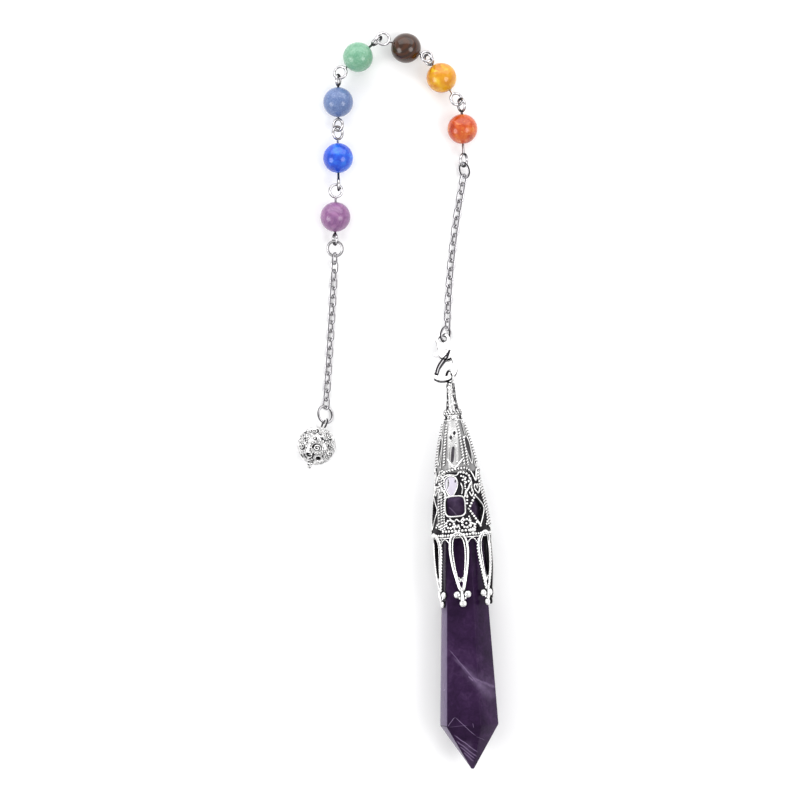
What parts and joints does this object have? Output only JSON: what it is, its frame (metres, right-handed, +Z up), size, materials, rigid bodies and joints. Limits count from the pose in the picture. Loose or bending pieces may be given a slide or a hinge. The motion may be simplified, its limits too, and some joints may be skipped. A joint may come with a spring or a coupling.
{
  "type": "pendulum pendant",
  "caption": "Six-sided stone point in a pierced bell cap on a lobster clasp, with cable chain, a row of round stone beads on wire pins and a pierced end ball, laid out flat.",
  "frame": {"origin": "middle of the bounding box's base, on the surface that the pendant lies on", "axes": "+X to the right of the picture, +Y from the stone's point towards the beads (the long way), +Z up from the surface (the thin way)"},
  "size_m": [0.0402, 0.1474, 0.0123],
  "materials": {
    "amethyst": "polished dark purple quartz",
    "cap_metal": "antique silver plate, darkened in the hollows",
    "ball_metal": "antique silver plate, darkened in the hollows",
    "clasp_metal": "bright silver plate",
    "chain_metal": "bright silver plate",
    "wire_metal": "bright silver plate",
    "stone_orange": "polished opaque stone",
    "stone_yellow": "polished opaque stone",
    "stone_brown": "polished opaque stone",
    "stone_green": "polished opaque stone",
    "stone_light_blue": "polished opaque stone",
    "stone_blue": "polished opaque stone",
    "stone_purple": "polished opaque stone"
  },
  "bodies": {
    "pendant": {"crystal": "amethyst", "cap": "cap_metal", "clasp_body": "clasp_metal", "clasp_rivet": "clasp_metal", "ring_clasp": "wire_metal", "chain_lower": "chain_metal", "ring_lower": "wire_metal", "bead_orange": "stone_orange", "bead_yellow": "stone_yellow", "bead_brown": "stone_brown", "bead_green": "stone_green", "bead_light_blue": "stone_light_blue", "bead_blue": "stone_blue", "bead_purple": "stone_purple", "pin_orange": "wire_metal", "pin_yellow": "wire_metal", "pin_brown": "wire_metal", "pin_green": "wire_metal", "pin_light_blue": "wire_metal", "pin_blue": "wire_metal", "pin_purple": "wire_metal", "ring_upper": "wire_metal", "chain_upper": "chain_metal", "ring_ball": "wire_metal", "ball_charm": "ball_metal"},
    "lever": {"clasp_lever": "clasp_metal"}
  },
  "joints": [
    {"name": "clasp_lever_hinge", "type": "hinge", "parent": "pendant", "child": "lever", "pos_m": [0.00962, 0.00933, 0.00343], "axis": [-0.0175, 0.4997, 0.866], "range_deg": [0, 14], "stiffness_Nm_per_rad": 0.004, "springref_deg": -17.19}
  ]
}
